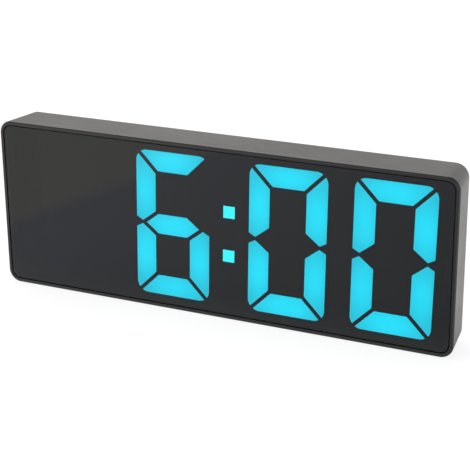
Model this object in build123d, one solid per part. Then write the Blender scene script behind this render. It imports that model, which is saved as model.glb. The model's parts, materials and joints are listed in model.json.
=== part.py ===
from build123d import *
import math
import os

# Digital LED desk clock, in millimetres.
# X runs along the face to the right, the face looks along -Y, and Z is up.
# The origin is at the middle of the base, half way through the case frame.

# Case frame
CASE_LENGTH = 160.0
CASE_HEIGHT = 57.5
CASE_DEPTH = 15.2
END_TAPER = 1.9
CASE_CORNER_R = 4.3
LEAST_CORNER_R = 0.4
FRONT_EDGE_R = 0.5
REAR_EDGE = 0.7
CASE_WALL = 2.4
RIM_WIDTH = 1.3
LEDGE_THICKNESS = 1.2
BOSS_R = 2.6
BOSS_INSET = 5.2
BOSS_EDGE = 8.75

# Lens and its tape
LENS_THICKNESS = 1.8
LENS_RECESS = 0.15
LENS_GAP = 0.15
LENS_EDGE = 0.2
TAPE_THICKNESS = 0.2
TAPE_SETBACK = 0.3

# Digits
FACE_MARGIN_LEFT = 16.125
FACE_MARGIN_RIGHT = 7.225
FACE_MARGIN_Z = 4.1
DIGIT_SPACING = 8.5
DIGIT_TO_COLON = 6.925
DIGIT_LEAN = 1.05
STROKE_UPRIGHT = 7.05
STROKE_LEVEL = 6.8
SEGMENT_GAP = 1.25
DIGIT_CORNER_R = 3.9
CROSSING_DEPTH = 2.65
NOTCH_HEIGHT = 3.5
COLON_SIDE = 4.1
COLON_SPACING = 14.8
LIT_SEGMENTS = ("", "acdefg", "abcdef", "abcdef")

# Display module behind the lens
LENS_TO_MASK = 0.05
MASK_THICKNESS = 0.15
INSERT_DEPTH = 1.0
MODULE_MARGIN_X = 1.6
MODULE_TO_WALL = 0.7
MODULE_GAP = 0.2
BOARD_THICKNESS = 1.2
BOARD_TO_COVER = 5.05
LED_LENGTH = 3.5
LED_WIDTH = 2.8
LED_HEIGHT = 0.7
LED_SPREAD_SHARE = 0.4

# Screws
BOARD_SCREW_R = 0.9
BOARD_SCREW_HEAD_R = 1.8
BOARD_SCREW_HEAD = 0.6
BOARD_SCREW_BITE_SHARE = 0.7
BOARD_SCREW_EDGE = 10.75
COVER_SCREW_R = 1.0
COVER_SCREW_HEAD_R = 1.9
COVER_SCREW_HEAD = 0.9
COVER_SCREW_BITE = 6.0
SCREW_GAP = 0.1
SCREW_SLOT_WIDTH = 0.5
SCREW_SLOT_DEPTH = 0.4

# Board parts, each with its place as a share of the way from the bail to the end wall
CHIP_SIDE = 7.0
CHIP_HEIGHT = 0.9
CHIP_EDGE = 0.15
CHIP_SHARE = 0.21
DRIVER_SIDE = 4.0
DRIVER_HEIGHT = 0.8
DRIVER_SHARE = 0.74
CRYSTAL_LENGTH = 11.0
CRYSTAL_WIDTH = 4.6
CRYSTAL_HEIGHT = 3.5
CRYSTAL_FLANGE = 0.5
CRYSTAL_FLANGE_THICKNESS = 0.6
CRYSTAL_SHARE = 0.69
CRYSTAL_RISE = 7.5
CAPACITOR_R = 2.5
CAPACITOR_HEIGHT = 4.0
CAPACITOR_BASE = 5.3
CAPACITOR_BASE_HEIGHT = 0.8
CAPACITOR_SHARE = 0.8
CAPACITOR_EDGE = 15.0
BUZZER_R = 4.5
BUZZER_HEIGHT = 4.0
BUZZER_HOLE_R = 1.0
BUZZER_HOLE_DEPTH = 1.2
BUZZER_SHARE = 0.23
BUZZER_EDGE = 14.0

# Buttons and their switches
BUTTON_LENGTH = 7.0
BUTTON_WIDTH = 4.4
BUTTON_PITCH = 10.0
BUTTON_SHARE = 0.56
BUTTON_PROUD = 0.9
BUTTON_GAP = 0.15
BUTTON_EDGE = 0.4
BUTTON_FLANGE = 0.8
BUTTON_FLANGE_THICKNESS = 0.7
BUTTON_FLANGE_GAP = 0.1
BUTTON_TRAVEL = 0.5
SWITCH_SIDE = 6.0
SWITCH_HEIGHT = 2.6
SWITCH_FLOOR = 0.5
PLUNGER_R = 1.7
PLUNGER_GAP = 0.15
PLUNGER_SPARE = 0.2

# Power inlet
USB_LENGTH = 8.9
USB_WIDTH = 3.2
USB_WALL = 0.3
USB_BACK = 0.6
USB_SETBACK = 0.1
USB_GAP = 0.3
USB_TONGUE_LENGTH = 6.7
USB_TONGUE_THICKNESS = 0.7
USB_TONGUE_SETBACK = 1.0
USB_SHARE = 0.56
USB_EDGE = 15.0

# Rear cover
COVER_THICKNESS = 1.6
COVER_RECESS = 0.4
COVER_REBATE = 0.9
COVER_GAP = 0.15
HOOK_THICKNESS = 1.2
HOOK_REACH = 1.1
HOOK_LIP = 0.8
HOOK_DEPTH = 1.0
HOOK_WIDTH = 8.0
HOOK_SPREAD = 16.0
HOOK_GAP = 0.2
POST_SIDE = 3.6
POST_INSET = 3.6
POST_EDGE = 9.75
SOUND_SLOT_LENGTH = 7.0
SOUND_SLOT_WIDTH = 0.9
SOUND_SLOT_PITCH = 2.2
SOUND_SLOT_COUNT = 3
KEYHOLE_TO_BAIL = 9.3
KEYHOLE_DROP = 15.75
KEYHOLE_R = 3.6
KEYHOLE_SLOT = 4.0
KEYHOLE_CLIMB = 5.0

# Battery box, cells and contacts
CELL_R = 5.25
CELL_LENGTH = 44.5
CELL_EDGE = 0.5
CELL_COUNT = 3
CELL_GAP = 0.15
CELL_SPACING = 0.4
NUB_R = 1.9
NUB_HEIGHT = 0.9
BOX_WALL = 2.2
BOX_FLOOR = 1.0
BOX_TO_SCREW = 0.1
BOX_CORNER_R = 2.0
BOX_EDGE = 0.6
CRADLE_DEPTH = 3.0
CONTACT_THICKNESS = 0.3
CONTACT_WIDTH = 8.6
CONTACT_HEIGHT = 9.0
LEAF_LENGTH = 3.9
LEAF_WIDTH = 5.0
LEAF_RISE = 3.2
LEAF_FREE = 0.6
LEAF_GAP = 0.05
LEAD_R = 0.6
LEAD_SIDES = 8
LEAD_REACH = 6.0
LEAD_BEND_R = 1.4
LEAD_FLOOR_GAP = 0.6
LEAD_HOLE_GAP = 0.15

# Battery door
DOOR_THICKNESS = 1.4
DOOR_TO_CELL = 0.3
DOOR_GAP = 0.2
TONGUE_THICKNESS = 0.7
TONGUE_REACH = 0.8
GRIP_LENGTH = 14.0
GRIP_WIDTH = 0.8
GRIP_DEPTH = 0.5
GRIP_PITCH = 2.0
GRIP_COUNT = 4
GRIP_INSET = 5.0

# Bail stand
BAIL_ARM = 3.6
BAIL_THICKNESS = 3.4
BAIL_BAR = 4.0
BAIL_CORNER_R = 3.0
BAIL_EDGE = 0.5
BAIL_SIDE_GAP = 0.4
BAIL_TO_COVER = 0.4
BAIL_TO_BOX = 1.2
PIVOT_R = 1.4
PIVOT_GAP = 0.08
PIVOT_RISE = 9.0

# How far every cut runs past the face that it opens
CUT = 1.0

# Planes through the depth, from the front
MID_Z = CASE_HEIGHT / 2
Y_FRONT = -CASE_DEPTH / 2
Y_BACK = CASE_DEPTH / 2
Y_LENS = Y_FRONT + LENS_RECESS
Y_LENS_BACK = Y_LENS + LENS_THICKNESS
Y_LEDGE = Y_LENS_BACK + TAPE_THICKNESS
Y_LEDGE_BACK = Y_LEDGE + LEDGE_THICKNESS
Y_MASK = Y_LENS_BACK + LENS_TO_MASK
Y_REFLECTOR = Y_MASK + MASK_THICKNESS
Y_COVER_BACK = Y_BACK - COVER_RECESS
Y_COVER = Y_COVER_BACK - COVER_THICKNESS
Y_BOARD_BACK = Y_COVER - BOARD_TO_COVER
Y_BOARD = Y_BOARD_BACK - BOARD_THICKNESS
Y_FLANGE = Y_COVER - BUTTON_FLANGE_GAP - BUTTON_FLANGE_THICKNESS
Y_BOX = Y_BOARD_BACK + BOARD_SCREW_HEAD + BOX_TO_SCREW
Y_BAY = Y_BOX + BOX_FLOOR
Y_CELL = Y_BAY + CELL_GAP + CELL_R
Y_DOOR = Y_CELL + CELL_R + DOOR_TO_CELL
Y_BOX_BACK = Y_DOOR + DOOR_THICKNESS

# Places across the face
DIGIT_ROOM = CASE_LENGTH - FACE_MARGIN_LEFT - FACE_MARGIN_RIGHT - 2 * DIGIT_SPACING - 2 * DIGIT_TO_COLON
DIGIT_WIDTH = DIGIT_ROOM / 4
DIGIT_HEIGHT = CASE_HEIGHT - 2 * FACE_MARGIN_Z
WINDOW_WIDTH = DIGIT_WIDTH - 2 * STROKE_UPRIGHT
WINDOW_HEIGHT = (DIGIT_HEIGHT - 3 * STROKE_LEVEL) / 2
COLON_X = (FACE_MARGIN_LEFT - FACE_MARGIN_RIGHT) / 2
DIGIT_PITCH = DIGIT_WIDTH + DIGIT_SPACING
DIGIT_LEFTS = (
    COLON_X - DIGIT_TO_COLON - DIGIT_PITCH - DIGIT_WIDTH,
    COLON_X - DIGIT_TO_COLON - DIGIT_WIDTH,
    COLON_X + DIGIT_TO_COLON,
    COLON_X + DIGIT_TO_COLON + DIGIT_PITCH,
)
MODULE_LEFT = DIGIT_LEFTS[0] - MODULE_MARGIN_X
MODULE_RIGHT = DIGIT_LEFTS[3] + DIGIT_WIDTH + MODULE_MARGIN_X
MODULE_LENGTH = MODULE_RIGHT - MODULE_LEFT
MODULE_HEIGHT = CASE_HEIGHT - 2 * CASE_WALL - 2 * MODULE_TO_WALL
BOARD_SCREW_XS = (DIGIT_LEFTS[1] - DIGIT_SPACING / 2, DIGIT_LEFTS[3] - DIGIT_SPACING / 2)
BOARD_SCREW_BITE = BOARD_SCREW_BITE_SHARE * (Y_BOARD - Y_REFLECTOR)

# Places across the back
BAY_X = (CELL_LENGTH + LEAF_LENGTH) / 2 + CONTACT_THICKNESS
BOX_X = BAY_X + BOX_WALL
CELL_PITCH = 2 * CELL_R + CELL_SPACING
BAY_RISE = CELL_COUNT * CELL_PITCH / 2
BAY_Z0 = MID_Z - BAY_RISE
BAY_Z1 = MID_Z + BAY_RISE
BOX_Z0 = BAY_Z0 - BOX_WALL
BOX_Z1 = BAY_Z1 + BOX_WALL
CELL_ZS = [MID_Z + CELL_PITCH * (i - (CELL_COUNT - 1) / 2) for i in range(CELL_COUNT)]
Y_PIVOT = Y_COVER_BACK + BAIL_TO_COVER + BAIL_THICKNESS / 2
Z_PIVOT = MID_Z + PIVOT_RISE
BAIL_INNER_X = BOX_X + BAIL_SIDE_GAP
BAIL_OUTER_X = BAIL_INNER_X + BAIL_ARM
BAIL_FOOT = BOX_Z0 - BAIL_TO_BOX - BAIL_BAR


def case_half_length(y, inset):
    """Half the case length at depth y, drawn in by inset"""
    return CASE_LENGTH / 2 - END_TAPER * (y - Y_FRONT) / CASE_DEPTH - inset


def panel_x(share):
    """Place on a side panel of the cover, as a share of the way from the bail to the end wall"""
    return BAIL_OUTER_X + share * (case_half_length(Y_COVER, CASE_WALL) - BAIL_OUTER_X)


BOSS_X = -case_half_length(Y_COVER, CASE_WALL) + BOSS_INSET
BOSS_ZS = (BOSS_EDGE, CASE_HEIGHT - BOSS_EDGE)
POST_ZS = (POST_EDGE, CASE_HEIGHT - POST_EDGE)
BUTTON_X = -panel_x(BUTTON_SHARE)
BUTTON_ZS = [MID_Z + BUTTON_PITCH * i for i in (-1, 0, 1)]
BUZZER_X = -panel_x(BUZZER_SHARE)
USB_X = panel_x(USB_SHARE)
CAPACITOR_X = panel_x(CAPACITOR_SHARE)
KEYHOLE_X = BAIL_OUTER_X + KEYHOLE_TO_BAIL
KEYHOLE_Z = CASE_HEIGHT - KEYHOLE_DROP


def block(x0, x1, y0, y1, z0, z1):
    """Box between two corners"""
    return Pos(x0, y0, z0) * Box(x1 - x0, y1 - y0, z1 - z0, align=(Align.MIN, Align.MIN, Align.MIN))


def prism(profile, y0, y1):
    """Profile in X and Z, drawn out along Y from y0 to y1"""
    return extrude(Plane.XZ.offset(-y1) * profile, y1 - y0, dir=(0, -1, 0))


def side_prism(profile, x0, x1):
    """Profile in Y and Z, drawn out along X from x0 to x1"""
    return extrude(Plane.YZ.offset(x0) * profile, x1 - x0, dir=(1, 0, 0))


def rod(x, z, radius, y0, y1):
    """Cylinder along Y"""
    return prism(Pos(x, z) * Circle(radius), y0, y1)


def case_body(inset, y0, y1):
    """Slice of the case form from y0 to y1, drawn in by inset: ends narrow to the back, corners are round"""
    front = case_half_length(Y_FRONT - CUT, inset)
    back = case_half_length(Y_BACK + CUT, inset)
    plan = make_face(Polyline((-front, Y_FRONT - CUT), (front, Y_FRONT - CUT), (back, Y_BACK + CUT),
                              (-back, Y_BACK + CUT), close=True))
    body = extrude(Pos(0, 0, inset) * plan, CASE_HEIGHT - 2 * inset, dir=(0, 0, 1))
    corners = body.edges().filter_by(Axis.X, reverse=True).filter_by(Axis.Z, reverse=True)
    body = fillet(corners, max(CASE_CORNER_R - inset, LEAST_CORNER_R))
    return body & block(-CASE_LENGTH, CASE_LENGTH, y0, y1, -CUT, CASE_HEIGHT + CUT)


def module_outline(spare):
    """Outline of the display module, grown by spare"""
    outline = Rectangle(MODULE_LENGTH + 2 * spare, MODULE_HEIGHT + 2 * spare)
    return Pos((MODULE_LEFT + MODULE_RIGHT) / 2, MID_Z) * outline


def gap_strip(outer, inner):
    """Dark strip between two segments, from an outer point to just past an inner one"""
    run = Vector(*inner) - Vector(*outer)
    length = run.length + SEGMENT_GAP
    middle = Vector(*outer) + run.normalized() * (length / 2)
    slope = math.degrees(math.atan2(run.Y, run.X))
    return Pos(middle.X, middle.Y) * Rot(0, 0, slope) * Rectangle(length, SEGMENT_GAP)


def lean(x, z):
    """Point of the display, moved sideways by the lean of the digits"""
    return (x + DIGIT_LEAN * (z - MID_Z) / DIGIT_HEIGHT, z)


def leaned_oblong(x, z, width, height):
    """Oblong about a point of the display, with the lean of the digits"""
    corners = ((-1, -1), (1, -1), (1, 1), (-1, 1))
    return Polygon(*[lean(x + i * width / 2, z + j * height / 2) for i, j in corners], align=None)


def digit_cuts(middle):
    """Windows, corner mitres and middle notches that divide a digit outline into segments"""
    window_rise = (STROKE_LEVEL + WINDOW_HEIGHT) / 2
    mitre = STROKE_UPRIGHT + SEGMENT_GAP
    notch_depth = CROSSING_DEPTH + SEGMENT_GAP / 2
    notch_rise = NOTCH_HEIGHT / 2 * (notch_depth + CUT) / notch_depth
    cuts = [leaned_oblong(middle, MID_Z + level * window_rise, WINDOW_WIDTH, WINDOW_HEIGHT) for level in (-1, 1)]
    for side in (-1, 1):
        edge = middle + side * DIGIT_WIDTH / 2
        inner = edge - side * STROKE_UPRIGHT
        crossing = (edge - side * CROSSING_DEPTH, MID_Z)
        notch_ends = [lean(edge + side * CUT, MID_Z + level * notch_rise) for level in (-1, 1)]
        cuts.append(Polygon((edge - side * notch_depth, MID_Z), *notch_ends, align=None))
        for level in (-1, 1):
            corner = (inner, MID_Z + level * (DIGIT_HEIGHT / 2 - STROKE_LEVEL))
            cuts.append(gap_strip(lean(corner[0] + side * mitre, corner[1] + level * mitre), lean(*corner)))
            cuts.append(gap_strip(crossing, lean(inner, MID_Z + level * STROKE_LEVEL / 2)))
    return cuts


def segment_places(left):
    """Middle of each segment of the digit that starts at left, and whether it lies level"""
    middle = left + DIGIT_WIDTH / 2
    side = (DIGIT_WIDTH - STROKE_UPRIGHT) / 2
    rise = (DIGIT_HEIGHT - STROKE_LEVEL) / 2
    places = {
        "a": (middle, MID_Z + rise, True),
        "b": (middle + side, MID_Z + rise / 2, False),
        "c": (middle + side, MID_Z - rise / 2, False),
        "d": (middle, MID_Z - rise, True),
        "e": (middle - side, MID_Z - rise / 2, False),
        "f": (middle - side, MID_Z + rise / 2, False),
        "g": (middle, MID_Z, True),
    }
    return {name: (*lean(x, z), level) for name, (x, z, level) in places.items()}


def digit_segments(left):
    """Seven segment faces of the digit that starts at left, in X and Z"""
    middle = left + DIGIT_WIDTH / 2
    outline = leaned_oblong(middle, MID_Z, DIGIT_WIDTH, DIGIT_HEIGHT)
    outline = fillet(outline.vertices(), DIGIT_CORNER_R)
    faces = (outline - digit_cuts(middle)).faces()
    places = segment_places(left)
    return {name: faces.sort_by_distance((x, z, 0))[0] for name, (x, z, level) in places.items()}


DIGITS = [digit_segments(left) for left in DIGIT_LEFTS]
COLON_ZS = (MID_Z - COLON_SPACING / 2, MID_Z + COLON_SPACING / 2)
COLON = [leaned_oblong(COLON_X, z, COLON_SIDE, COLON_SIDE) for z in COLON_ZS]
LIT = [face for digit, lit in zip(DIGITS, LIT_SEGMENTS) for name, face in digit.items() if name in lit]
UNLIT = [face for digit, lit in zip(DIGITS, LIT_SEGMENTS) for name, face in digit.items() if name not in lit]
ALL_SEGMENTS = LIT + UNLIT + COLON


def make_case_frame():
    """Ring of the case, with the lens pocket, the ledge, the rear opening and two screw bosses"""
    frame = case_body(0, Y_FRONT, Y_BACK)
    frame = fillet(frame.faces().sort_by(Axis.Y)[0].edges(), FRONT_EDGE_R)
    frame = chamfer(frame.faces().sort_by(Axis.Y)[-1].edges(), REAR_EDGE)
    frame -= case_body(RIM_WIDTH, Y_FRONT - CUT, Y_LEDGE)
    frame -= prism(module_outline(MODULE_GAP), Y_LEDGE - CUT, Y_LEDGE_BACK + CUT)
    frame -= case_body(CASE_WALL, Y_LEDGE_BACK, Y_BACK + CUT)
    frame -= case_body(CASE_WALL - COVER_REBATE, Y_COVER, Y_BACK + CUT)
    for z in BOSS_ZS:
        frame += rod(BOSS_X, z, BOSS_R, Y_LEDGE_BACK, Y_COVER)
        frame -= rod(BOSS_X, z, COVER_SCREW_R, Y_COVER - COVER_SCREW_BITE - CUT, Y_COVER + CUT)
    for z in (MID_Z - HOOK_SPREAD, MID_Z + HOOK_SPREAD):
        frame -= hook_foot(z, HOOK_GAP)
    return frame


def hook_foot(z, spare):
    """Foot of a cover hook under the frame's wall, grown by spare for its slot"""
    wall = case_half_length(Y_COVER, CASE_WALL)
    back = Y_COVER - HOOK_LIP + spare
    front = Y_COVER - HOOK_LIP - HOOK_DEPTH - spare
    side = HOOK_WIDTH / 2 + spare
    return block(wall - HOOK_THICKNESS, wall + HOOK_REACH + spare, front, back, z - side, z + side)


def make_display_lens():
    """Smoked front panel with a small bevel round its face"""
    lens = case_body(RIM_WIDTH + LENS_GAP, Y_LENS, Y_LENS_BACK)
    return chamfer(lens.faces().sort_by(Axis.Y)[0].edges(), LENS_EDGE)


def make_lens_tape():
    """Adhesive frame between the lens and the ledge"""
    tape = case_body(RIM_WIDTH + LENS_GAP + TAPE_SETBACK, Y_LENS_BACK, Y_LEDGE)
    return tape - prism(module_outline(0), Y_LENS_BACK - CUT, Y_LEDGE + CUT)


def make_segment_mask():
    """Dark film with one window for each segment"""
    return prism(module_outline(0) - ALL_SEGMENTS, Y_MASK, Y_REFLECTOR)


def make_reflector_block():
    """Light box with one well for each segment, and holes for the board screws"""
    reflector = prism(module_outline(0) - ALL_SEGMENTS, Y_REFLECTOR, Y_BOARD)
    for x, z in board_screw_places():
        reflector -= rod(x, z, BOARD_SCREW_R, Y_BOARD - BOARD_SCREW_BITE, Y_BOARD + CUT)
    return reflector


def segment_inserts(faces):
    """Milky inserts that fill the mouths of the wells"""
    return Compound([prism(face, Y_REFLECTOR, Y_REFLECTOR + INSERT_DEPTH).solid() for face in faces])


def make_segment_leds():
    """Two chips in each segment's well and one behind each colon square"""
    places = [(*lean(COLON_X, z), True) for z in COLON_ZS]
    for left in DIGIT_LEFTS:
        for x, z, level in segment_places(left).values():
            dx = LED_SPREAD_SHARE * WINDOW_WIDTH if level else 0
            dz = 0 if level else LED_SPREAD_SHARE * WINDOW_HEIGHT
            places += [(x - dx, z - dz, level), (x + dx, z + dz, level)]
    chips = []
    for x, z, level in places:
        half_x = (LED_LENGTH if level else LED_WIDTH) / 2
        half_z = (LED_WIDTH if level else LED_LENGTH) / 2
        chips.append(block(x - half_x, x + half_x, Y_BOARD - LED_HEIGHT, Y_BOARD, z - half_z, z + half_z).solid())
    return Compound(chips)


def board_screw_places():
    """Board screws stand between the digits of each pair, one high and one low"""
    return [(BOARD_SCREW_XS[0], CASE_HEIGHT - BOARD_SCREW_EDGE), (BOARD_SCREW_XS[1], BOARD_SCREW_EDGE)]


def make_main_board():
    """Circuit board, the size of the reflector, with clearance holes for its screws"""
    board = prism(module_outline(0), Y_BOARD, Y_BOARD_BACK)
    for x, z in board_screw_places():
        board -= rod(x, z, BOARD_SCREW_R + SCREW_GAP, Y_BOARD - CUT, Y_BOARD_BACK + CUT)
    return board


def screw(x, z, seat, radius, bite, head_r, head):
    """Slotted screw along Y with the underside of its head on the plane seat"""
    body = rod(x, z, radius, seat - bite, seat) + rod(x, z, head_r, seat, seat + head)
    slot = SCREW_SLOT_WIDTH / 2
    top = seat + head
    return body - block(x - slot, x + slot, top - SCREW_SLOT_DEPTH, top + CUT, z - head_r - CUT, z + head_r + CUT)


def make_board_screws():
    """Two screws through the board into the reflector"""
    bite = BOARD_THICKNESS + BOARD_SCREW_BITE
    sizes = (Y_BOARD_BACK, BOARD_SCREW_R, bite, BOARD_SCREW_HEAD_R, BOARD_SCREW_HEAD)
    return Compound([screw(x, z, *sizes).solid() for x, z in board_screw_places()])


def make_cover_screws():
    """Two screws through the cover into the frame's bosses"""
    seat = Y_COVER_BACK - COVER_SCREW_HEAD
    bite = seat - Y_COVER + COVER_SCREW_BITE
    sizes = (seat, COVER_SCREW_R, bite, COVER_SCREW_HEAD_R, COVER_SCREW_HEAD)
    return Compound([screw(BOSS_X, z, *sizes).solid() for z in BOSS_ZS])


def leadless_chip(x, side, height):
    """Flat square chip half way up the back of the board"""
    outline = Pos(x, MID_Z) * Rectangle(side, side)
    chip = prism(outline, Y_BOARD_BACK, Y_BOARD_BACK + height)
    return chamfer(chip.faces().sort_by(Axis.Y)[-1].edges(), CHIP_EDGE)


def make_quartz_crystal():
    """Metal crystal can on its flange"""
    place = Pos(panel_x(CRYSTAL_SHARE), MID_Z + CRYSTAL_RISE)
    foot = Y_BOARD_BACK + CRYSTAL_FLANGE_THICKNESS
    flange = SlotOverall(CRYSTAL_LENGTH + 2 * CRYSTAL_FLANGE, CRYSTAL_WIDTH + 2 * CRYSTAL_FLANGE)
    can = prism(place * SlotOverall(CRYSTAL_LENGTH, CRYSTAL_WIDTH), foot, Y_BOARD_BACK + CRYSTAL_HEIGHT)
    can = chamfer(can.faces().sort_by(Axis.Y)[-1].edges(), CRYSTAL_FLANGE)
    return prism(place * flange, Y_BOARD_BACK, foot) + can


def make_supply_capacitor():
    """Can capacitor on its square base"""
    base_top = Y_BOARD_BACK + CAPACITOR_BASE_HEIGHT
    foot = Rectangle(CAPACITOR_BASE, CAPACITOR_BASE)
    base = prism(Pos(CAPACITOR_X, CAPACITOR_EDGE) * foot, Y_BOARD_BACK, base_top)
    return base + rod(CAPACITOR_X, CAPACITOR_EDGE, CAPACITOR_R, base_top, Y_BOARD_BACK + CAPACITOR_HEIGHT)


def make_buzzer():
    """Round buzzer with its sound hole to the back"""
    top = Y_BOARD_BACK + BUZZER_HEIGHT
    body = rod(BUZZER_X, BUZZER_EDGE, BUZZER_R, Y_BOARD_BACK, top)
    return body - rod(BUZZER_X, BUZZER_EDGE, BUZZER_HOLE_R, top - BUZZER_HOLE_DEPTH, top + CUT)


def make_switch_bodies():
    """Three push switches on the board, each with a well for its plunger"""
    top = Y_BOARD_BACK + SWITCH_HEIGHT
    switches = []
    for z in BUTTON_ZS:
        body = prism(Pos(BUTTON_X, z) * Rectangle(SWITCH_SIDE, SWITCH_SIDE), Y_BOARD_BACK, top)
        body -= rod(BUTTON_X, z, PLUNGER_R + PLUNGER_GAP, Y_BOARD_BACK + SWITCH_FLOOR, top + CUT)
        switches.append(body.solid())
    return Compound(switches)


def make_plunger(z):
    """Switch plunger, held against the button's flange"""
    foot = Y_BOARD_BACK + SWITCH_FLOOR + PLUNGER_SPARE + BUTTON_TRAVEL
    return rod(BUTTON_X, z, PLUNGER_R, foot, Y_FLANGE)


def make_button(z):
    """Oblong button with a flange that keeps it inside the cover"""
    place = Pos(BUTTON_X, z)
    cap = prism(place * SlotOverall(BUTTON_LENGTH, BUTTON_WIDTH), Y_FLANGE, Y_COVER_BACK + BUTTON_PROUD)
    cap = chamfer(cap.faces().sort_by(Axis.Y)[-1].edges(), BUTTON_EDGE)
    flange = Rectangle(BUTTON_LENGTH + 2 * BUTTON_FLANGE, BUTTON_WIDTH + 2 * BUTTON_FLANGE)
    return cap + prism(place * flange, Y_FLANGE, Y_FLANGE + BUTTON_FLANGE_THICKNESS)


def make_usb_shell():
    """Metal shell of the inlet, standing on the board and open to the back"""
    place = Pos(USB_X, USB_EDGE)
    mouth = Y_COVER_BACK - USB_SETBACK
    inside = SlotOverall(USB_LENGTH - 2 * USB_WALL, USB_WIDTH - 2 * USB_WALL)
    shell = prism(place * SlotOverall(USB_LENGTH, USB_WIDTH), Y_BOARD_BACK, mouth)
    return shell - prism(place * inside, Y_BOARD_BACK + USB_BACK, mouth + CUT)


def make_usb_tongue():
    """Contact tongue in the middle of the inlet"""
    tongue = Pos(USB_X, USB_EDGE) * Rectangle(USB_TONGUE_LENGTH, USB_TONGUE_THICKNESS)
    return prism(tongue, Y_BOARD_BACK + USB_BACK, Y_COVER_BACK - USB_SETBACK - USB_TONGUE_SETBACK)


def keyhole(x):
    """Hanging slot: a round entry and a narrower slot above it"""
    middle = KEYHOLE_Z + KEYHOLE_CLIMB / 2
    slot = Pos(x, middle) * Rot(0, 0, 90) * SlotCenterToCenter(KEYHOLE_CLIMB, KEYHOLE_SLOT)
    return Pos(x, KEYHOLE_Z) * Circle(KEYHOLE_R) + slot


def cover_openings():
    """Openings through the plate of the cover, in X and Z"""
    openings = [keyhole(x) for x in (-KEYHOLE_X, KEYHOLE_X)]
    button = SlotOverall(BUTTON_LENGTH + 2 * BUTTON_GAP, BUTTON_WIDTH + 2 * BUTTON_GAP)
    openings += [Pos(BUTTON_X, z) * button for z in BUTTON_ZS]
    openings.append(Pos(USB_X, USB_EDGE) * SlotOverall(USB_LENGTH + 2 * USB_GAP, USB_WIDTH + 2 * USB_GAP))
    for i in range(SOUND_SLOT_COUNT):
        z = BUZZER_EDGE + SOUND_SLOT_PITCH * (i - (SOUND_SLOT_COUNT - 1) / 2)
        openings.append(Pos(BUZZER_X, z) * Rectangle(SOUND_SLOT_LENGTH, SOUND_SLOT_WIDTH))
    openings += [Pos(BOSS_X, z) * Circle(COVER_SCREW_R + SCREW_GAP) for z in BOSS_ZS]
    return openings


def battery_box():
    """Battery box that stands through the cover: cradles, contact slots and door grooves"""
    outline = Pos(0, MID_Z) * RectangleRounded(2 * BOX_X, BOX_Z1 - BOX_Z0, BOX_CORNER_R)
    box = prism(outline, Y_BOX, Y_BOX_BACK)
    box = chamfer(box.faces().sort_by(Axis.Y)[-1].edges(), BOX_EDGE)
    box -= block(-BAY_X, BAY_X, Y_BAY + CRADLE_DEPTH, Y_BOX_BACK + CUT, BAY_Z0, BAY_Z1)
    for z in CELL_ZS:
        box -= side_prism(Pos(Y_CELL, z) * Circle(CELL_R + CELL_GAP), -BAY_X, BAY_X)
    for side in (-1, 1):
        inner, outer = sorted((side * (BAY_X - CONTACT_THICKNESS), side * BAY_X))
        box -= block(inner, outer, Y_BAY, Y_BOX_BACK, BAY_Z0, BAY_Z1)
    ledge = Y_DOOR - DOOR_GAP
    groove = BAY_X + TONGUE_REACH + DOOR_GAP
    box -= block(-BAY_X, BAY_X, ledge, Y_BOX_BACK + CUT, MID_Z, BOX_Z1 + CUT)
    box -= block(-groove, groove, ledge, Y_DOOR + TONGUE_THICKNESS + DOOR_GAP, BAY_Z0, BOX_Z1 + CUT)
    return box


def make_rear_cover():
    """Back panel with the battery box, the bail's pins, the hooks, the posts and the openings"""
    cover = case_body(CASE_WALL - COVER_REBATE + COVER_GAP, Y_COVER, Y_COVER_BACK)
    cover -= prism(Pos(0, MID_Z) * Rectangle(2 * BAY_X, BAY_Z1 - BAY_Z0), Y_COVER - CUT, Y_COVER_BACK + CUT)
    cover += battery_box()
    for x in (MODULE_LEFT + POST_INSET, MODULE_RIGHT - POST_INSET):
        for z in POST_ZS:
            cover += prism(Pos(x, z) * Rectangle(POST_SIDE, POST_SIDE), Y_BOARD_BACK, Y_COVER)
    wall = case_half_length(Y_COVER, CASE_WALL)
    for z in (MID_Z - HOOK_SPREAD, MID_Z + HOOK_SPREAD):
        leg = (wall - HOOK_THICKNESS - HOOK_GAP, wall - HOOK_GAP)
        cover += block(*leg, Y_COVER - HOOK_LIP - HOOK_DEPTH, Y_COVER, z - HOOK_WIDTH / 2, z + HOOK_WIDTH / 2)
        cover += hook_foot(z, 0)
    for opening in cover_openings():
        cover -= prism(opening, Y_COVER - CUT, Y_COVER_BACK + CUT)
    for z in BOSS_ZS:
        seat = Y_COVER_BACK - COVER_SCREW_HEAD
        cover -= rod(BOSS_X, z, COVER_SCREW_HEAD_R + SCREW_GAP, seat, Y_COVER_BACK + CUT)
    for x0, x1 in ((-BAIL_OUTER_X, -BOX_X), (BOX_X, BAIL_OUTER_X)):
        cover += side_prism(Pos(Y_PIVOT, Z_PIVOT) * Circle(PIVOT_R), x0, x1)
    for side, z in ((-1, CELL_ZS[0]), (1, CELL_ZS[-1])):
        x0, x1 = sorted((side * BAY_X, side * (BOX_X + CUT)))
        cover -= side_prism(Pos(lead_y(), z) * Circle(LEAD_R + LEAD_HOLE_GAP), x0, x1)
    return cover


def make_battery_cell(index):
    """AAA cell along X, with its button end to the right on every other cell"""
    side = 1 if index % 2 == 0 else -1
    tip = side * (BAY_X - CONTACT_THICKNESS)
    shoulder = tip - side * NUB_HEIGHT
    x0, x1 = sorted((shoulder, tip - side * CELL_LENGTH))
    axis = Pos(Y_CELL, CELL_ZS[index])
    body = side_prism(axis * Circle(CELL_R), x0, x1)
    body = chamfer(body.edges().filter_by(GeomType.CIRCLE), CELL_EDGE)
    return body + side_prism(axis * Circle(NUB_R), *sorted((shoulder, tip)))


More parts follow.
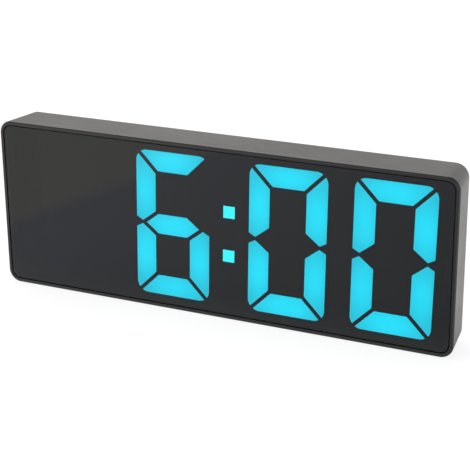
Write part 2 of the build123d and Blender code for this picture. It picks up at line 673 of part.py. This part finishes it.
def contact_plate(side, low, high):
    """Flat contact against an end wall, across the cells from low to high"""
    x0, x1 = sorted((side * BAY_X, side * (BAY_X - CONTACT_THICKNESS)))
    z0 = CELL_ZS[low] - CONTACT_WIDTH / 2
    z1 = CELL_ZS[high] + CONTACT_WIDTH / 2
    return block(x0, x1, Y_BAY, Y_BAY + CONTACT_HEIGHT, z0, z1)


def contact_leaf(side, index):
    """Bent leaf that presses on the flat end of a cell"""
    root = side * (BAY_X - CONTACT_THICKNESS / 2)
    tip = side * (BAY_X - CONTACT_THICKNESS - LEAF_LENGTH + LEAF_GAP)
    free = side * (BAY_X - CONTACT_THICKNESS - LEAF_FREE)
    back = side * CONTACT_THICKNESS
    outline = Polygon(
        (root, Y_CELL + LEAF_RISE),
        (tip, Y_CELL),
        (free - back, Y_CELL - LEAF_RISE),
        (free, Y_CELL - LEAF_RISE),
        (tip + back, Y_CELL),
        (root, Y_CELL + LEAF_RISE - CONTACT_THICKNESS),
        align=None,
    )
    leaf = Pos(0, 0, CELL_ZS[index] - LEAF_WIDTH / 2) * outline
    return extrude(leaf, LEAF_WIDTH, dir=(0, 0, 1))


def lead_y():
    """Depth of the battery leads, just above the bay floor"""
    return Y_BAY + LEAD_FLOOR_GAP + LEAD_R


def make_lead(side, z):
    """Wire from the back of a contact, through the box wall, down to the board"""
    turn = side * (BOX_X + LEAD_REACH)
    path = FilletPolyline(
        (side * BAY_X, lead_y(), z),
        (turn, lead_y(), z),
        (turn, Y_BOARD_BACK, z),
        radius=LEAD_BEND_R,
    )
    return sweep(Plane(path @ 0, z_dir=path % 0) * RegularPolygon(LEAD_R, LEAD_SIDES), path=path)


def make_battery_door():
    """Sliding door with a tongue along both sides and finger ridges"""
    width = BAY_X - DOOR_GAP
    low = BAY_Z0 + DOOR_GAP
    tongue = BAY_X + TONGUE_REACH
    door = block(-width, width, Y_DOOR, Y_BOX_BACK, low, BOX_Z1)
    door += block(-tongue, tongue, Y_DOOR, Y_DOOR + TONGUE_THICKNESS, low, BOX_Z1 - BOX_CORNER_R)
    for i in range(GRIP_COUNT):
        ridge = Pos(0, BOX_Z1 - GRIP_INSET - GRIP_PITCH * i) * Rectangle(GRIP_LENGTH, GRIP_WIDTH)
        door -= prism(ridge, Y_BOX_BACK - GRIP_DEPTH, Y_BOX_BACK + CUT)
    return door


def make_bail_stand():
    """U-shaped prop leg with an eye on each arm"""
    half = BAIL_THICKNESS / 2
    height = Z_PIVOT - BAIL_FOOT
    outer = Pos(0, Z_PIVOT - height / 2) * Rectangle(2 * BAIL_OUTER_X, height)
    outer = fillet(outer.vertices().group_by(Axis.Y)[0], BAIL_CORNER_R + BAIL_ARM)
    inner = Pos(0, Z_PIVOT - height / 2 + BAIL_BAR) * Rectangle(2 * BAIL_INNER_X, height)
    inner = fillet(inner.vertices().group_by(Axis.Y)[0], BAIL_CORNER_R)
    bail = prism(outer - inner, Y_PIVOT - half, Y_PIVOT + half)
    rim = bail.faces().sort_by(Axis.Y)[-1].edges()
    bail = chamfer(rim.sort_by(Axis.Z)[:-2], BAIL_EDGE)
    eye = Pos(Y_PIVOT, Z_PIVOT) * Circle(half)
    hole = Pos(Y_PIVOT, Z_PIVOT) * Circle(PIVOT_R + PIVOT_GAP)
    for x0, x1 in ((-BAIL_OUTER_X, -BAIL_INNER_X), (BAIL_INNER_X, BAIL_OUTER_X)):
        bail += side_prism(eye, x0, x1)
        bail -= side_prism(hole, x0 - CUT, x1 + CUT)
    return bail


NODES = {
    "case_frame": make_case_frame(),
    "display_lens": make_display_lens(),
    "lens_tape": make_lens_tape(),
    "segment_mask": make_segment_mask(),
    "lit_segments": segment_inserts(LIT + [square.face() for square in COLON]),
    "unlit_segments": segment_inserts(UNLIT),
    "reflector_block": make_reflector_block(),
    "segment_leds": make_segment_leds(),
    "main_board": make_main_board(),
    "board_screws": make_board_screws(),
    "control_chip": leadless_chip(panel_x(CHIP_SHARE), CHIP_SIDE, CHIP_HEIGHT),
    "led_driver": leadless_chip(panel_x(DRIVER_SHARE), DRIVER_SIDE, DRIVER_HEIGHT),
    "quartz_crystal": make_quartz_crystal(),
    "supply_capacitor": make_supply_capacitor(),
    "buzzer": make_buzzer(),
    "switch_bodies": make_switch_bodies(),
    "set_plunger": make_plunger(BUTTON_ZS[2]),
    "up_plunger": make_plunger(BUTTON_ZS[1]),
    "down_plunger": make_plunger(BUTTON_ZS[0]),
    "set_button": make_button(BUTTON_ZS[2]),
    "up_button": make_button(BUTTON_ZS[1]),
    "down_button": make_button(BUTTON_ZS[0]),
    "usb_shell": make_usb_shell(),
    "usb_tongue": make_usb_tongue(),
    "rear_cover": make_rear_cover(),
    "cover_screws": make_cover_screws(),
    "battery_cell_1": make_battery_cell(0),
    "battery_cell_2": make_battery_cell(1),
    "battery_cell_3": make_battery_cell(2),
    "negative_contact": contact_plate(-1, 0, 0) + contact_leaf(-1, 0),
    "positive_contact": contact_plate(1, 2, 2),
    "link_contact_left": contact_plate(-1, 1, 2) + contact_leaf(-1, 2),
    "link_contact_right": contact_plate(1, 0, 1) + contact_leaf(1, 1),
    "negative_lead": make_lead(-1, CELL_ZS[0]),
    "positive_lead": make_lead(1, CELL_ZS[-1]),
    "battery_door": make_battery_door(),
    "bail_stand": make_bail_stand(),
}

os.makedirs("parts", exist_ok=True)
for name, shape in NODES.items():
    export_step(shape, f"parts/{name}.step")
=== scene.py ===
import json
import math

import bpy
from mathutils import Matrix, Vector


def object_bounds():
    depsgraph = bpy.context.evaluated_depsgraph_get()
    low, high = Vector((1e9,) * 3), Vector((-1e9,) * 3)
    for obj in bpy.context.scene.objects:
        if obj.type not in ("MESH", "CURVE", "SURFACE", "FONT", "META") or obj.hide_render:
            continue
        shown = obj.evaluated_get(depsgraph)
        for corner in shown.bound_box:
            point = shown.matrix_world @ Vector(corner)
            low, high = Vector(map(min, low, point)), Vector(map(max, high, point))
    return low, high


# Looks of the digital LED desk clock, in metres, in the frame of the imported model
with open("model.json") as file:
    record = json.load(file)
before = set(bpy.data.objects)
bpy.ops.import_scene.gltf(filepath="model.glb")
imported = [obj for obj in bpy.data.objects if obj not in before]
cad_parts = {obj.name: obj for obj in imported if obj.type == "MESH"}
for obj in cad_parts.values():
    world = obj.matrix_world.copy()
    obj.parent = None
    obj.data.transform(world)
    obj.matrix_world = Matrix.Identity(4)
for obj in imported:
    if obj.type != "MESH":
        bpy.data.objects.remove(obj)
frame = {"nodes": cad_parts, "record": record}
cad_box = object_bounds()
nodes = frame["nodes"]
scene = bpy.context.scene
scene.view_settings.view_transform = "Standard"

BLACK = (0.0, 0.0, 0.0)
WHITE = (1.0, 1.0, 1.0)

# Places on the face. The two pairs of digits lie alike to the left and right of the colon.
FACE_Y = cad_box[0].y
FACE_MID_Z = cad_box[1].z / 2
COLON_X = 0.00445
COLON_REACH = 0.004
PAIR_FROM_COLON = 0.037625
DIGIT_FROM_PAIR = 0.017475
DIGIT_LEAN = 0.00105 / 0.0493

# Pools of light on a digit's segments, from the middle of the digit
BAR_RISE = 0.0213
UPRIGHT_OUT = 0.0097
UPRIGHT_RISE = 0.0106
POOL_RADIUS = 0.0054
BAR_SQUEEZE = 0.45
UPRIGHT_SQUEEZE = 0.5
POOLS = (
    {"out": 0.0, "rise": BAR_RISE, "squeeze_x": BAR_SQUEEZE, "squeeze_z": 1.0},
    {"out": 0.0, "rise": 0.0, "squeeze_x": BAR_SQUEEZE, "squeeze_z": 1.0},
    {"out": UPRIGHT_OUT, "rise": UPRIGHT_RISE, "squeeze_x": 1.0, "squeeze_z": UPRIGHT_SQUEEZE},
)

# The polished rim of the case turns satin between these two depths behind the face
POLISH_END = 0.0002
SATIN_START = 0.0008

# Along a cell, from the middle of the clock towards the cell's button end
JACKET_START = -0.0192
JACKET_RING = 0.0142
JACKET_END = 0.0226

# Most values of a noise lie in this range
NOISE_LOW = 0.3
NOISE_HIGH = 0.7

# What a camera or a mirror sees of the world is white, and as light it is weaker
WORLD_LIGHT = 0.6
WORLD_SEEN = 1.0

# The part of the world that is dim in a mirror, by direction: where it starts and where it is full
HIGH_FRONT_Y = (-0.05, -0.25)
HIGH_FRONT_Z = (0.32, 0.48)
HIGH_FRONT_DIMMING = 0.9

FLOOR_SIZE = 8.0
FLOOR_GREY = (0.24, 0.24, 0.24, 1.0)
FLOOR_SEEN = (0.84, 0.84, 0.84)

# Painted reflection on the floor, seen only in mirrors: a pale tone, and past a slanted edge a cool tone
# that darkens to the right
PAINTED_REFLECTION_PALE = (0.80, 0.795, 0.77)
PAINTED_REFLECTION_COOL = (0.60, 0.62, 0.71)
PAINTED_REFLECTION_DARK = (0.36, 0.385, 0.41)
PAINTED_REFLECTION_SLANT = 0.245
PAINTED_REFLECTION_EDGE_X = (-0.132, -0.124)
PAINTED_REFLECTION_DARKENING_X = (-0.09, 0.07)

# From the first to the second of these, the mirrored floor turns white
WHITE_BEHIND_Y = (-0.03, 0.04)
WHITE_RIGHT_X = (0.078, 0.09)

# Camera of the photograph, in degrees and pixels of its frame
CAMERA_YAW = 25.73
CAMERA_PITCH = 19.79
CAMERA_ROLL = 0.54
FOCAL_PIXELS = 1409.07
FRAME_PIXELS = 470.0
SENSOR_WIDTH = 36.0

# The middle of the clock's base as the camera sees it: to the right, down and ahead
BASE_RIGHT = -0.00304
BASE_DOWN = 0.02434
BASE_AHEAD = 0.4650


class Tree:
    """Short calls for the nodes of a material or of the world"""

    def __init__(self, tree, coordinates):
        self.tree = tree
        tree.nodes.clear()
        self.place = self.add("ShaderNodeTexCoord").outputs[coordinates]

    def add(self, kind, **settings):
        node = self.tree.nodes.new(kind)
        for key, value in settings.items():
            setattr(node, key, value)
        return node

    def join(self, source, target):
        self.tree.links.new(source, target)

    def feed(self, socket, value):
        """A socket takes a link or a plain value"""
        if isinstance(value, bpy.types.NodeSocket):
            self.join(value, socket)
        else:
            socket.default_value = value

    def math(self, operation, a, b=0.0, clamp=False):
        node = self.add("ShaderNodeMath", operation=operation, use_clamp=clamp)
        self.feed(node.inputs[0], a)
        self.feed(node.inputs[1], b)
        return node.outputs[0]

    def away(self, value, place):
        """How far a value is from a place, to either side"""
        return self.math("ABSOLUTE", self.math("SUBTRACT", value, place))

    def axis(self, name):
        node = self.add("ShaderNodeSeparateXYZ")
        self.join(self.place, node.inputs[0])
        return node.outputs[name]

    def span(self, value, low, high, to_low=0.0, to_high=1.0):
        """The range from low to high becomes the range from to_low to to_high, and ends there"""
        node = self.add("ShaderNodeMapRange")
        self.feed(node.inputs["Value"], value)
        for key, number in (("From Min", low), ("From Max", high), ("To Min", to_low), ("To Max", to_high)):
            node.inputs[key].default_value = number
        return node.outputs["Result"]

    def spread(self, noise, low, high):
        """A noise laid over the range from low to high"""
        return self.span(noise, NOISE_LOW, NOISE_HIGH, low, high)

    def blend(self, share, first, second):
        node = self.add("ShaderNodeMix", data_type="RGBA")
        self.feed(node.inputs["Factor"], share)
        for socket, value in ((node.inputs[6], first), (node.inputs[7], second)):
            self.feed(socket, value if isinstance(value, bpy.types.NodeSocket) else (*value, 1.0))
        return node.outputs[2]

    def rays(self, *kinds):
        """1 where the ray is of one of these kinds, else 0"""
        path = self.add("ShaderNodeLightPath")
        total = path.outputs[kinds[0]]
        for kind in kinds[1:]:
            total = self.math("MAXIMUM", total, path.outputs[kind])
        return total


class Shader(Tree):
    """A Principled material with short calls for its textures"""

    def __init__(self, name, **sockets):
        self.material = bpy.data.materials.new(name)
        self.material.use_nodes = True
        super().__init__(self.material.node_tree, "Object")
        self.bsdf = self.add("ShaderNodeBsdfPrincipled")
        self.join(self.bsdf.outputs["BSDF"], self.add("ShaderNodeOutputMaterial").inputs["Surface"])
        for socket, value in sockets.items():
            self.bsdf.inputs[socket.replace("_", " ")].default_value = value

    def stretch(self, scale):
        node = self.add("ShaderNodeMapping")
        self.join(self.place, node.inputs["Vector"])
        node.inputs["Scale"].default_value = scale
        return node.outputs["Vector"]

    def noise(self, scale, detail=2.0, rough=0.5, where=None):
        node = self.add("ShaderNodeTexNoise")
        self.join(where or self.place, node.inputs["Vector"])
        node.inputs["Scale"].default_value = scale
        node.inputs["Detail"].default_value = detail
        node.inputs["Roughness"].default_value = rough
        return node.outputs["Fac"]

    def cells(self, scale):
        node = self.add("ShaderNodeTexVoronoi")
        self.join(self.place, node.inputs["Vector"])
        node.inputs["Scale"].default_value = scale
        return node.outputs["Distance"]

    def colour(self, value):
        self.join(value, self.bsdf.inputs["Base Color"])

    def rough(self, value):
        self.join(value, self.bsdf.inputs["Roughness"])

    def bump(self, height, strength, distance):
        node = self.add("ShaderNodeBump")
        node.inputs["Strength"].default_value = strength
        node.inputs["Distance"].default_value = distance
        self.join(height, node.inputs["Height"])
        self.join(node.outputs["Normal"], self.bsdf.inputs["Normal"])


def moulded(name, dark, light, roughness, grain, depth, strength=0.25):
    """Moulded plastic or rubber: a spark-eroded grain, a slow drift of colour and patchy gloss"""
    s = Shader(name, IOR=1.5)
    fine = s.noise(grain, rough=0.6)
    s.colour(s.blend(s.noise(scale=60.0, detail=3.0), dark, light))
    patches = s.spread(s.noise(scale=180.0, detail=4.0), roughness - 0.04, roughness + 0.04)
    s.rough(s.math("ADD", patches, s.span(fine, 0.2, 0.8, -0.03, 0.03)))
    s.bump(fine, strength, depth)
    return s.material


def case_plastic():
    """Satin charcoal on the sides, polished on the narrow rim round the lens"""
    s = Shader("case_plastic", IOR=1.585)
    fine = s.noise(scale=2600.0, rough=0.6)
    drift = s.noise(scale=45.0, detail=3.0)
    rubs = s.noise(scale=900.0, detail=3.0, rough=0.7, where=s.stretch((0.12, 1.0, 1.0)))
    side = s.span(s.axis("Y"), FACE_Y + POLISH_END, FACE_Y + SATIN_START)
    satin = s.blend(drift, (0.0365, 0.0297, 0.0252), (0.0445, 0.0372, 0.032))
    s.colour(s.blend(side, (0.0085, 0.0068, 0.0056), satin))
    worn = s.math("ADD", s.spread(drift, 0.34, 0.42), s.span(rubs, 0.45, 0.75, 0.0, 0.08))
    polished = s.spread(drift, 0.16, 0.22)
    gap = s.math("SUBTRACT", worn, polished)
    s.rough(s.math("ADD", polished, s.math("MULTIPLY", gap, side)))
    s.bump(s.math("MULTIPLY", fine, side), strength=0.22, distance=0.00002)
    return s.material


def smoked_lens():
    """Polished smoked acrylic, with wiped smears and a little dust"""
    s = Shader("smoked_lens", IOR=1.49, Transmission_Weight=1.0, Base_Color=(0.10, 0.101, 0.104, 1.0))
    smear = s.noise(scale=38.0, detail=3.0, rough=0.55, where=s.stretch((1.0, 1.0, 2.4)))
    dust = s.span(s.cells(scale=420.0), 0.03, 0.07, 0.10, 0.0)
    sparse = s.span(s.noise(scale=95.0, detail=1.0), 0.60, 0.66)
    wiped = s.span(smear, 0.35, 0.75, 0.012, 0.035)
    s.rough(s.math("ADD", wiped, s.math("MULTIPLY", dust, sparse)))
    return s.material


def lit_diffuser():
    """Milky insert with the soft pools of light that its chips throw on it"""
    s = Shader("lit_diffuser", IOR=1.49, Roughness=0.4, Emission_Strength=10.5)
    z = s.axis("Z")
    leaned = s.math("MULTIPLY", s.math("SUBTRACT", z, FACE_MID_Z), DIGIT_LEAN)
    from_colon = s.away(s.math("SUBTRACT", s.axis("X"), leaned), COLON_X)
    across = s.away(s.away(from_colon, PAIR_FROM_COLON), DIGIT_FROM_PAIR)
    up = s.away(z, FACE_MID_Z)
    colon = s.math("LESS_THAN", from_colon, COLON_REACH)
    light = colon
    for pool in POOLS:
        dx = s.math("MULTIPLY", s.math("SUBTRACT", across, pool["out"]), pool["squeeze_x"])
        dz = s.math("MULTIPLY", s.math("SUBTRACT", up, pool["rise"]), pool["squeeze_z"])
        square = s.math("ADD", s.math("MULTIPLY", dx, dx), s.math("MULTIPLY", dz, dz))
        fall_off = s.math("POWER", math.e, s.math("MULTIPLY", square, -1.0 / POOL_RADIUS ** 2))
        light = s.math("MAXIMUM", light, fall_off)
    uneven = s.noise(scale=55.0)
    level = s.math("ADD", light, s.spread(uneven, -0.12, 0.12), clamp=True)
    glow = s.blend(level, (0.004, 0.42, 0.54), (0.0, 0.72, 0.91))
    glow = s.blend(colon, glow, (0.03, 0.92, 0.98))
    s.join(glow, s.bsdf.inputs["Emission Color"])
    s.colour(s.blend(uneven, (0.10, 0.20, 0.22), (0.12, 0.24, 0.26)))
    return s.material


def printed_film(name, dark, light):
    """Black printed film with a slow drift in the depth of the ink"""
    s = Shader(name, IOR=1.45, Specular_IOR_Level=0.1)
    ink = s.noise(scale=45.0)
    s.colour(s.blend(ink, dark, light))
    s.rough(s.spread(ink, 0.7, 0.82))
    return s.material


def foam_tape():
    """Black foam; the trace of glow stands for the light it scatters back through the lens it touches"""
    s = Shader("foam_tape", IOR=1.5, Roughness=0.8, Emission_Strength=1.0)
    s.bsdf.inputs["Emission Color"].default_value = (0.014, 0.014, 0.014, 1.0)
    foam = s.noise(scale=700.0, detail=3.0)
    s.colour(s.blend(foam, (0.009, 0.009, 0.009), (0.013, 0.013, 0.013)))
    return s.material


def reflector_white():
    """White moulding with a fine grain"""
    s = Shader("reflector_white", IOR=1.5)
    drift = s.noise(scale=80.0, detail=3.0)
    s.colour(s.blend(drift, (0.80, 0.80, 0.775), (0.86, 0.86, 0.845)))
    s.rough(s.spread(drift, 0.45, 0.55))
    s.bump(s.noise(scale=1800.0), strength=0.12, distance=0.00002)
    return s.material


def led_resin():
    """Clear resin over phosphor"""
    s = Shader("led_resin", IOR=1.53, Coat_Weight=0.4, Coat_Roughness=0.1)
    speck = s.noise(scale=3000.0)
    s.colour(s.blend(speck, (0.78, 0.66, 0.25), (0.88, 0.79, 0.42)))
    s.rough(s.spread(speck, 0.25, 0.35))
    return s.material


def board_laminate():
    """Solder mask over copper runs and the weave of the laminate"""
    s = Shader("board_laminate", IOR=1.5)
    weave = s.add("ShaderNodeTexBrick", offset=0.5)
    s.join(s.stretch((520.0, 520.0, 520.0)), weave.inputs["Vector"])
    weave.inputs["Mortar Size"].default_value = 0.06
    runs = s.add("ShaderNodeTexWave", wave_type="BANDS", bands_direction="DIAGONAL")
    s.join(s.place, runs.inputs["Vector"])
    runs.inputs["Scale"].default_value = 190.0
    runs.inputs["Distortion"].default_value = 2.5
    runs.inputs["Detail Scale"].default_value = 30.0
    copper = s.span(runs.outputs["Fac"], 0.80, 0.86)
    threads = s.math("MULTIPLY", weave.outputs["Fac"], 0.35)
    ground = s.blend(threads, (0.012, 0.085, 0.036), (0.008, 0.06, 0.026))
    s.colour(s.blend(copper, ground, (0.035, 0.17, 0.07)))
    s.rough(s.span(copper, 0.0, 1.0, 0.38, 0.3))
    s.bump(copper, strength=0.25, distance=0.00003)
    return s.material


def bare_metal(name, dark, light, smoothest, roughest, scale, stretched):
    """Plated or drawn metal with fine drawing lines"""
    s = Shader(name, Metallic=1.0)
    lines = s.noise(scale, detail=3.0, rough=0.6, where=s.stretch(stretched))
    s.colour(s.blend(s.noise(scale=150.0, detail=3.0), dark, light))
    s.rough(s.spread(lines, smoothest, roughest))
    s.bump(lines, strength=0.08, distance=0.00001)
    return s.material


def cell_jacket(name, button_side):
    """Plain jacket shrunk over a steel can; button_side is +1 where the button end is to the right"""
    s = Shader(name, IOR=1.5)
    along = s.math("MULTIPLY", s.axis("X"), button_side)
    past_start = s.math("GREATER_THAN", along, JACKET_START)
    before_end = s.math("LESS_THAN", along, JACKET_END)
    jacket = s.math("MULTIPLY", past_start, before_end)
    ring = s.math("MULTIPLY", jacket, s.math("GREATER_THAN", along, JACKET_RING))
    film = s.noise(scale=120.0, detail=3.0)
    body = s.blend(film, (0.050, 0.075, 0.115), (0.065, 0.092, 0.138))
    body = s.blend(ring, body, (0.42, 0.44, 0.46))
    s.colour(s.blend(jacket, (0.62, 0.62, 0.61), body))
    s.join(s.math("SUBTRACT", 1.0, jacket), s.bsdf.inputs["Metallic"])
    s.rough(s.spread(film, 0.26, 0.34))
    s.bump(s.noise(scale=900.0, where=s.stretch((0.2, 1.0, 1.0))), strength=0.06, distance=0.00002)
    return s.material


MOULDINGS = {
    "cover_plastic": {
        "dark": (0.0315, 0.0267, 0.0232), "light": (0.039, 0.0332, 0.0288),
        "roughness": 0.50, "grain": 1700.0, "depth": 0.00004, "strength": 0.35,
    },
    "bail_plastic": {
        "dark": (0.0272, 0.0236, 0.0207), "light": (0.0337, 0.0292, 0.0258),
        "roughness": 0.38, "grain": 2600.0, "depth": 0.00002,
    },
    "button_rubber": {
        "dark": (0.056, 0.056, 0.059), "light": (0.067, 0.067, 0.070),
        "roughness": 0.62, "grain": 2200.0, "depth": 0.00003,
    },
    "chip_black": {
        "dark": (0.014, 0.014, 0.0145), "light": (0.022, 0.022, 0.0225),
        "roughness": 0.55, "grain": 3200.0, "depth": 0.00003,
    },
    "plunger_plastic": {
        "dark": (0.05, 0.05, 0.05), "light": (0.065, 0.065, 0.065),
        "roughness": 0.45, "grain": 2600.0, "depth": 0.00002,
    },
    "red_wire": {
        "dark": (0.40, 0.022, 0.02), "light": (0.47, 0.03, 0.026),
        "roughness": 0.45, "grain": 1500.0, "depth": 0.00002,
    },
    "black_wire": {
        "dark": (0.014, 0.014, 0.014), "light": (0.02, 0.02, 0.02),
        "roughness": 0.45, "grain": 1500.0, "depth": 0.00002,
    },
}
FILMS = {
    "mask_film": {"dark": (0.0035, 0.0035, 0.0037), "light": (0.0048, 0.0048, 0.005)},
    "unlit_diffuser": {"dark": (0.0038, 0.0038, 0.004), "light": (0.005, 0.005, 0.0052)},
}
METALS = {
    "plated_steel": {
        "dark": (0.42, 0.42, 0.41), "light": (0.52, 0.52, 0.505),
        "smoothest": 0.22, "roughest": 0.36, "scale": 1400.0, "stretched": (0.2, 1.0, 1.0),
    },
    "capacitor_can": {
        "dark": (0.70, 0.70, 0.70), "light": (0.78, 0.78, 0.78),
        "smoothest": 0.25, "roughest": 0.4, "scale": 1600.0, "stretched": (1.0, 0.15, 1.0),
    },
}

materials = {
    "case_plastic": case_plastic(),
    "smoked_lens": smoked_lens(),
    "foam_tape": foam_tape(),
    "lit_diffuser": lit_diffuser(),
    "reflector_white": reflector_white(),
    "led_resin": led_resin(),
    "board_laminate": board_laminate(),
}
for make_look, looks in ((moulded, MOULDINGS), (printed_film, FILMS), (bare_metal, METALS)):
    for slot, look in looks.items():
        materials[slot] = make_look(slot, **look)

# The cells lie head to tail
cell_right = cell_jacket("cell_jacket_right", 1.0)
cell_left = cell_jacket("cell_jacket_left", -1.0)
cell_looks = {"battery_cell_1": cell_right, "battery_cell_2": cell_left, "battery_cell_3": cell_right}

for row in frame["record"]["subparts"]:
    node = nodes[row["node"]]
    look = cell_looks.get(row["node"]) or materials[row["material_slot"]]
    if not node.material_slots:
        node.data.materials.append(look)
    for holder in node.material_slots:
        holder.material = look


def make_floor():
    """Pale floor that keeps a soft shadow and reads as white; in front it carries a painted reflection,
    seen only in mirrors, of two tones
    """
    bpy.ops.mesh.primitive_plane_add(size=FLOOR_SIZE, location=(0.0, 0.0, 0.0))
    floor = bpy.context.object
    floor.name = "studio_floor"
    s = Shader(
        "studio_floor", Roughness=1.0, Specular_IOR_Level=0.0, Base_Color=FLOOR_GREY, Emission_Strength=1.0
    )
    x = s.axis("X")
    y = s.axis("Y")
    # Painted reflection: only mirrors see these tones, pale at the left and, past a slanted edge, cool and
    # darker to the right
    past_edge = s.span(s.math("ADD", x, s.math("MULTIPLY", y, PAINTED_REFLECTION_SLANT)), *PAINTED_REFLECTION_EDGE_X)
    cool = s.blend(s.span(x, *PAINTED_REFLECTION_DARKENING_X), PAINTED_REFLECTION_COOL, PAINTED_REFLECTION_DARK)
    front = s.blend(past_edge, PAINTED_REFLECTION_PALE, cool)
    white = s.math("MAXIMUM", s.span(y, *WHITE_BEHIND_Y), s.span(x, *WHITE_RIGHT_X))
    mirrored = s.blend(white, front, WHITE)
    indirect = s.blend(s.rays("Is Glossy Ray", "Is Transmission Ray"), BLACK, mirrored)
    lift = s.blend(s.rays("Is Camera Ray"), indirect, FLOOR_SEEN)
    s.join(lift, s.bsdf.inputs["Emission Color"])
    floor.data.materials.append(s.material)


def make_world():
    """White all round; as it is mirrored, it is dim high up in front"""
    world = bpy.data.worlds.new("studio_world")
    scene.world = world
    world.use_nodes = True
    w = Tree(world.node_tree, "Generated")
    in_front = w.span(w.axis("Y"), *HIGH_FRONT_Y)
    high_up = w.span(w.axis("Z"), *HIGH_FRONT_Z)
    dimmed = w.math("MULTIPLY", w.rays("Is Glossy Ray"), w.math("MULTIPLY", in_front, high_up))
    shade = w.math("MULTIPLY", dimmed, HIGH_FRONT_DIMMING)
    seen = w.rays("Is Camera Ray", "Is Glossy Ray", "Is Transmission Ray")
    shown = w.math("MULTIPLY", seen, WORLD_SEEN - WORLD_LIGHT)
    sky = w.add("ShaderNodeBackground")
    w.feed(sky.inputs["Color"], (*WHITE, 1.0))
    w.feed(sky.inputs["Strength"], w.math("SUBTRACT", w.math("ADD", shown, WORLD_LIGHT), shade))
    w.join(sky.outputs["Background"], w.add("ShaderNodeOutputWorld").inputs["Surface"])


def make_lamp(name, place, aim, size, power):
    lamp = bpy.data.lights.new(name, "AREA")
    lamp.shape = "RECTANGLE"
    lamp.size, lamp.size_y = size
    lamp.energy = power
    holder = bpy.data.objects.new(name, lamp)
    scene.collection.objects.link(holder)
    holder.location = place
    holder.rotation_euler = (Vector(aim) - Vector(place)).to_track_quat("-Z", "Y").to_euler()


def make_camera():
    """Camera of the photograph: a long lens from the right, a little above"""
    yaw, pitch, roll = (math.radians(angle) for angle in (CAMERA_YAW, CAMERA_PITCH, CAMERA_ROLL))
    ahead = Vector((-math.sin(yaw) * math.cos(pitch), math.cos(yaw) * math.cos(pitch), -math.sin(pitch)))
    level = Vector((math.cos(yaw), math.sin(yaw), 0.0))
    down = ahead.cross(level)
    right = math.cos(roll) * level + math.sin(roll) * down
    up = math.sin(roll) * level - math.cos(roll) * down
    data = bpy.data.cameras.new("camera")
    data.sensor_fit = "HORIZONTAL"
    data.sensor_width = SENSOR_WIDTH
    data.lens = SENSOR_WIDTH * FOCAL_PIXELS / FRAME_PIXELS
    camera = bpy.data.objects.new("camera", data)
    scene.collection.objects.link(camera)
    place = up * BASE_DOWN - right * BASE_RIGHT - ahead * BASE_AHEAD
    turn = Matrix((right, up, -ahead)).transposed()
    camera.matrix_world = Matrix.Translation(place) @ turn.to_4x4()
    scene.camera = camera


make_floor()
make_world()
make_lamp("top_softbox", place=(-0.35, 0.15, 1.0), aim=(0.0, 0.0, 0.03), size=(1.0, 0.9), power=6.0)
make_camera()
